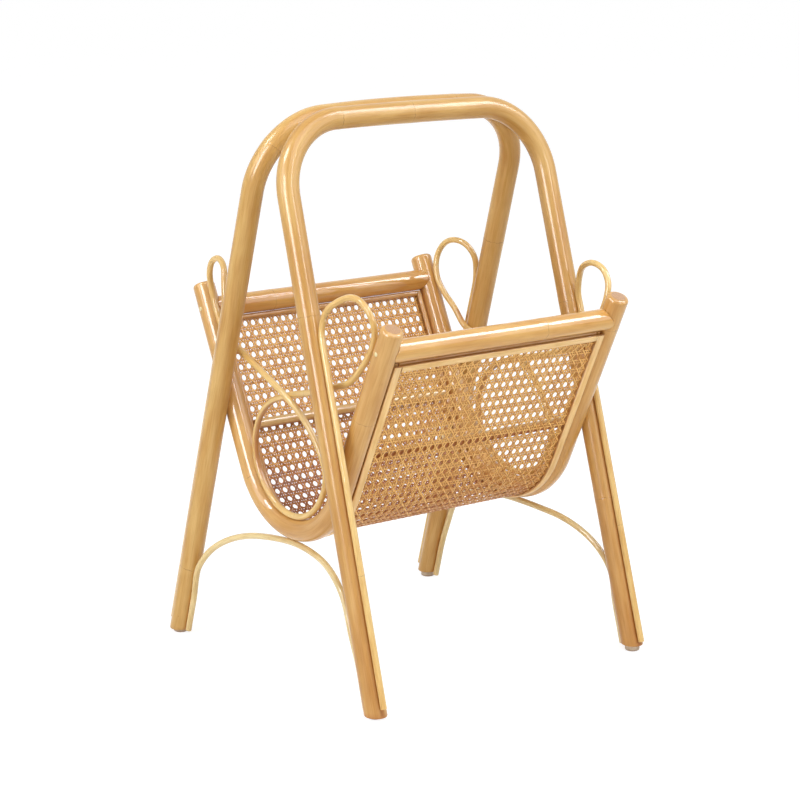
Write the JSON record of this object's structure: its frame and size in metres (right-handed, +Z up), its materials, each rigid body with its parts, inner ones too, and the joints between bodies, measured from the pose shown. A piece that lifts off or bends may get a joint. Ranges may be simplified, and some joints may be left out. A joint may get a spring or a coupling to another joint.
{
  "type": "magazine basket",
  "caption": "Standing magazine basket: leaning bent-cane hoops meet in a carrying bar and hold a U-shaped trough of woven cane webbing, with curled cane cores at the ends.",
  "frame": {"origin": "on the floor, midway between the four feet", "axes": "+X to the right along the trough and the carrying bar, +Y from the front side to the rear side, +Z up"},
  "size_m": [0.4158, 0.4356, 0.66],
  "materials": {
    "hoop_pole": "clear gloss lacquer on honey-coloured cane pole",
    "frame_pole": "clear gloss lacquer on honey-coloured cane pole",
    "rail_pole": "clear gloss lacquer on honey-coloured cane pole",
    "core": "clear gloss lacquer on straw-coloured core",
    "strip": "satin pale split cane",
    "bead": "clear gloss lacquer on amber core",
    "cane": "woven cane webbing, satin",
    "glide": "translucent grey-beige plastic",
    "screw": "plain steel"
  },
  "bodies": {
    "root": {"front_hoop": "hoop_pole", "rear_hoop": "hoop_pole", "left_end_frame": "frame_pole", "right_end_frame": "frame_pole", "front_top_rail": "rail_pole", "rear_top_rail": "rail_pole", "cane_webbing": "cane", "front_rail_bead": "bead", "rear_rail_bead": "bead", "left_edge_bead": "bead", "right_edge_bead": "bead", "front_rail_strip": "strip", "rear_rail_strip": "strip", "left_edge_strip": "strip", "right_edge_strip": "strip", "front_batten": "bead", "rear_batten": "bead", "left_scroll": "core", "right_scroll": "core", "left_foot_arch": "core", "right_foot_arch": "core", "front_left_glide": "glide", "front_right_glide": "glide", "rear_left_glide": "glide", "rear_right_glide": "glide", "front_left_crossing_screw": "screw", "front_right_crossing_screw": "screw", "rear_left_crossing_screw": "screw", "rear_right_crossing_screw": "screw", "left_handle_screw": "screw", "right_handle_screw": "screw"}
  },
  "joints": []
}
